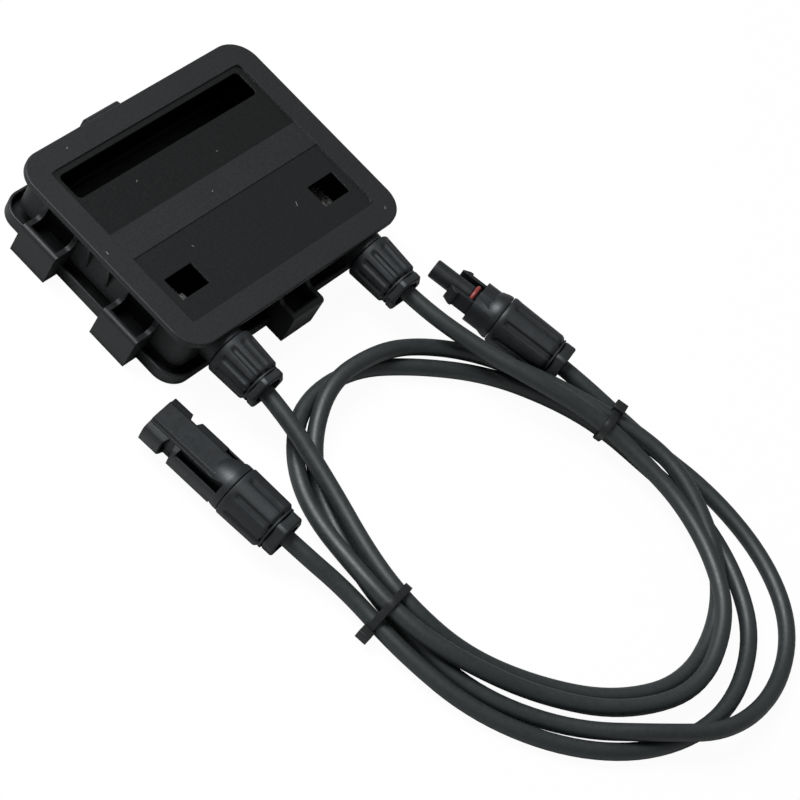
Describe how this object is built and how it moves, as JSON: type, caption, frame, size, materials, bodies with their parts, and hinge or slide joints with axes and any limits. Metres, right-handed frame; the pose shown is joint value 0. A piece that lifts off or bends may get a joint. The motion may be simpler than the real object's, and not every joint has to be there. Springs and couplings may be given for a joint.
{
  "type": "pv junction box",
  "caption": "Flat solar panel junction box with ribbon slot, latched lid, cable glands and coiled leads ending in latching plug connectors.",
  "frame": {"origin": "centre of the flange's outline, projected onto the outer face of the lid", "axes": "+X along the wall that carries the cable glands, +Y away from the glands, +Z from the lid towards the sealing flange"},
  "size_m": [0.1631, 0.2928, 0.024],
  "materials": {
    "housing_plastic": "fine moulded texture",
    "lid_plastic": "satin",
    "nut_plastic": "satin",
    "connector_plastic": "satin",
    "cage_plastic": "satin",
    "tinned_copper": "tinned, dull",
    "plated_contact": "tin plated",
    "diode_body": "glossy moulded",
    "cable_jacket": "satin jacket",
    "tie_nylon": "matte nylon",
    "red_seal": "satin silicone",
    "black_rubber": "matte"
  },
  "bodies": {
    "lid_body": {"lid": "lid_plastic", "lid_gasket": "black_rubber"},
    "housing": {"base_housing": "housing_plastic", "contact_rail_1": "tinned_copper", "contact_rail_2": "tinned_copper", "contact_rail_3": "tinned_copper", "contact_rail_4": "tinned_copper", "bypass_diode_1": "diode_body", "bypass_diode_2": "diode_body", "bypass_diode_3": "diode_body", "crimp_left": "tinned_copper", "crimp_right": "tinned_copper", "gland_seal_left": "black_rubber", "gland_seal_right": "black_rubber", "gland_cage_left": "cage_plastic", "gland_cage_right": "cage_plastic", "cable_left": "cable_jacket", "cable_right": "cable_jacket", "tie_lower": "tie_nylon", "tie_upper": "tie_nylon", "socket_housing": "connector_plastic", "socket_contact": "plated_contact", "socket_seal": "black_rubber", "socket_cage": "cage_plastic", "plug_housing": "connector_plastic", "plug_contact": "plated_contact", "plug_ring": "red_seal", "plug_seal": "black_rubber", "plug_cage": "cage_plastic"},
    "gland_nut_left": {"gland_nut_left": "nut_plastic"},
    "gland_nut_right": {"gland_nut_right": "nut_plastic"},
    "socket_nut": {"socket_nut": "nut_plastic"},
    "plug_nut": {"plug_nut": "nut_plastic"}
  },
  "joints": [
    {"name": "lid_snap", "type": "slide", "parent": "lid_body", "child": "housing", "axis": [0, 0, 1], "range_m": [0, 0.02]},
    {"name": "gland_nut_left_turn", "type": "hinge", "parent": "housing", "child": "gland_nut_left", "pos_m": [-0.036, -0.05, 0.0145], "axis": [0, -1, 0], "continuous": true},
    {"name": "gland_nut_right_turn", "type": "hinge", "parent": "housing", "child": "gland_nut_right", "pos_m": [0.036, -0.05, 0.0145], "axis": [0, -1, 0], "continuous": true},
    {"name": "socket_nut_turn", "type": "hinge", "parent": "housing", "child": "socket_nut", "pos_m": [-0.068, -0.088, 0.009], "axis": [0.073, -0.9973, 0], "continuous": true},
    {"name": "plug_nut_turn", "type": "hinge", "parent": "housing", "child": "plug_nut", "pos_m": [0.0665, -0.099, 0.009], "axis": [0.1961, -0.9806, 0], "continuous": true}
  ]
}
